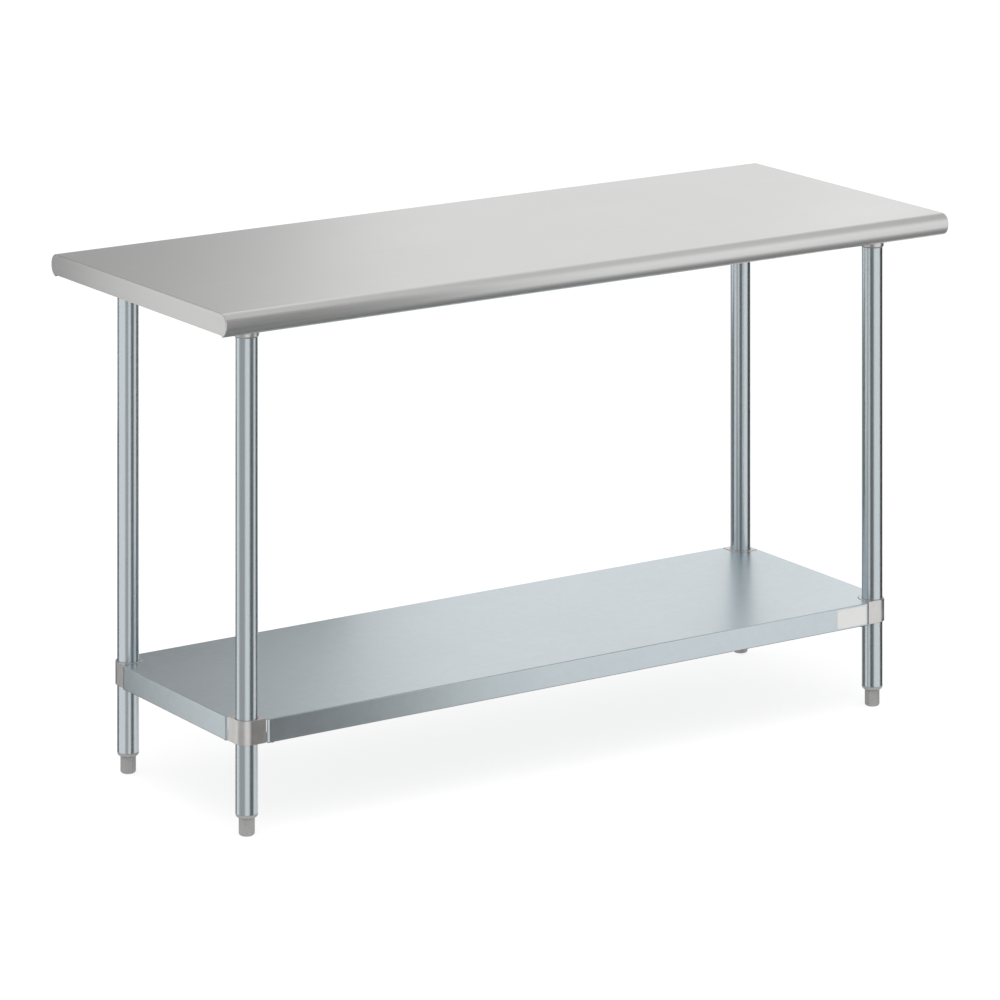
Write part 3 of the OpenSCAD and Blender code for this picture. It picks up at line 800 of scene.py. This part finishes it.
# ------------------------------------------------------------------ studio
def stage_plane(name, centre, u, v, material):
    c, u, v = Vector(centre), Vector(u), Vector(v)
    me = bpy.data.meshes.new(name)
    # local x runs along u and local y along v, both in metres, from the middle of the card
    o = bpy.data.objects.new(name, me)
    lu, lv = u.length, v.length
    me.from_pydata([(-lu, -lv, 0), (lu, -lv, 0), (lu, lv, 0), (-lu, lv, 0)], [], [(0, 1, 2, 3)])
    me.materials.append(material)
    scene.collection.objects.link(o)
    x, y = u.normalized(), v.normalized()
    o.matrix_world = Matrix.Translation(c) @ Matrix((x, y, x.cross(y))).transposed().to_4x4()
    return o


def card(name, centre, u, v, stops, lean=0.0):
    """A studio card that only shows in reflections. stops are (metres along u, brightness)."""
    m, t, out = new_material(name)
    m.cycles.emission_sampling = "NONE"
    sep = node(t, "ShaderNodeSeparateXYZ")
    t.links.new(coords_of(t), sep.inputs[0])
    along = math_node(t, "ADD", sep.outputs[0], math_node(t, "MULTIPLY", sep.outputs[1], lean))
    half = Vector(u).length
    ramp = node(t, "ShaderNodeValToRGB")
    t.links.new(spread(t, along, 0, 1, -half, half), ramp.inputs[0])
    el = ramp.color_ramp.elements
    for i, (x, k) in enumerate(stops):
        pos = (x + half) / (2 * half)
        e = el[i] if i < 2 else el.new(pos)
        e.position = pos
        e.color = (k / 2, k / 2, k / 2, 1)
    em = node(t, "ShaderNodeEmission", in_Strength=2.0)
    t.links.new(ramp.outputs[0], em.inputs[0])
    t.links.new(em.outputs[0], out.inputs["Surface"])
    o = stage_plane(name, centre, u, v, m)
    for k in ("camera", "diffuse", "transmission", "volume_scatter", "shadow"):
        setattr(o, "visible_" + k, False)
    return o


ahead = Vector((math.sin(VIEW_YAW), math.cos(VIEW_YAW), 0))
right = Vector((math.cos(VIEW_YAW), -math.sin(VIEW_YAW), 0))
up = Vector((0, 0, 1))

# far behind the table: dim on the left, even in the middle, a brighter panel on the right
card("card_back", ahead * 2.2 + up * 1.4, right * 2.5, up * 2.6,
     [(-2.5, 0.4), (-0.9, 0.4), (-0.65, 0.5), (-0.5, 0.6), (-0.4, 0.82), (-0.25, 0.93), (0.6, 0.93), (0.8, 1.07), (1.0, 1.0),
      (2.2, 0.5)],
     lean=0.18)
# close behind the left half: a low dark flag that only the legs see
card("card_back_low", (-0.30, 0.95, -0.40), (0.55, 0, 0), (0, 0, 0.84), [(-0.55, 0.13), (0.55, 0.2)])
# beside the back left corner: a tall dark flag
card("card_back_left", (-1.02, 0.95, 0.6), (0.17, 0, 0), (0, 0, 2.0), [(-0.17, 0.10), (0.17, 0.10)])
# beside the left end: a narrow grey flag
card("card_left", (-1.07, -0.31, 0.9), (0, 0.27, 0), (0, 0, 2.2), [(-0.27, 0.44), (0.27, 0.44)])
# in front: a narrow dark flag, with a grey one above it
card("card_front_low", (-0.165, -1.10, -0.47), (0.495, -0.15, 0), (0, 0, 1.13), [(-0.515, 0.13), (0.18, 0.17), (0.515, 0.32)])
card("card_front_high", (-0.165, -1.10, 1.28), (0.495, -0.15, 0), (0, 0, 0.62), [(-0.515, 0.28), (0.18, 0.28), (0.515, 0.42)])
# beyond the right end: a tall dark flag
card("card_right", (2.8, -0.375, 1.0), (0, 1.125, 0), (0, 0, 1.8), [(-1.125, 0.06), (1.125, 0.06)])

world = bpy.data.worlds.new("studio")
scene.world = world
world.use_nodes = True
wt = world.node_tree
wt.nodes.clear()
wout = wt.nodes.new("ShaderNodeOutputWorld")
bg = wt.nodes.new("ShaderNodeBackground")
sep = wt.nodes.new("ShaderNodeSeparateXYZ")
wt.links.new(wt.nodes.new("ShaderNodeTexCoord").outputs["Generated"], sep.inputs[0])
ramp = wt.nodes.new("ShaderNodeValToRGB")
wt.links.new(spread(wt, sep.outputs[2], 0, 1, -1, 1), ramp.inputs[0])
for i, (z, k) in enumerate([(-1.0, 0.25), (-0.78, 0.27), (-0.55, 0.55), (-0.35, 0.92), (-0.1, 1.0), (0.35, 1.0), (0.72, 0.71), (1.0, 0.62)]):
    e = ramp.color_ramp.elements[i] if i < 2 else ramp.color_ramp.elements.new((z + 1) / 2)
    e.position = (z + 1) / 2
    e.color = (k, k, k, 1)
wt.links.new(ramp.outputs[0], bg.inputs[0])
bg.inputs[1].default_value = 1.0
wt.links.new(bg.outputs[0], wout.inputs[0])


def floor_material():
    m, t, out = new_material("pale_floor")
    c = coords_of(t)
    cloud = noise(t, c, (1.5, 1.5, 1.5), 3, 0.5)
    grain = noise(t, c, (60, 60, 60), 2, 0.5)
    colour = blend(t, math_node(t, "MULTIPLY", cloud, grain), (0.30, 0.30, 0.30), (0.33, 0.33, 0.33))
    b = t.nodes.new("ShaderNodeBsdfPrincipled")
    t.links.new(colour, b.inputs["Base Color"])
    t.links.new(spread(t, grain, 0.75, 0.9), b.inputs["Roughness"])
    b.inputs["Specular IOR Level"].default_value = 0.0
    b.inputs["Emission Color"].default_value = (1, 1, 1, 1)
    b.inputs["Emission Strength"].default_value = 0.80
    clear = t.nodes.new("ShaderNodeBsdfTransparent")
    mixs = t.nodes.new("ShaderNodeMixShader")
    t.links.new(node(t, "ShaderNodeNewGeometry").outputs["Backfacing"], mixs.inputs[0])
    t.links.new(b.outputs[0], mixs.inputs[1])
    t.links.new(clear.outputs[0], mixs.inputs[2])
    t.links.new(mixs.outputs[0], out.inputs["Surface"])
    m.cycles.emission_sampling = "NONE"
    return m


floor = stage_plane("floor", (0, 0, -0.0002), (40, 0, 0), (0, 40, 0), floor_material())
floor.visible_glossy = False

light = bpy.data.lights.new("softbox", "AREA")
light.shape, light.size, light.size_y, light.energy = "RECTANGLE", 4.0, 3.0, 60
lo_ = bpy.data.objects.new("softbox", light)
lo_.location = (-0.8, -1.0, 3.6)
lo_.rotation_euler = (Vector((0, 0, 0.4)) - Vector(lo_.location)).to_track_quat("-Z", "Y").to_euler()
scene.collection.objects.link(lo_)
lo_.visible_glossy = False
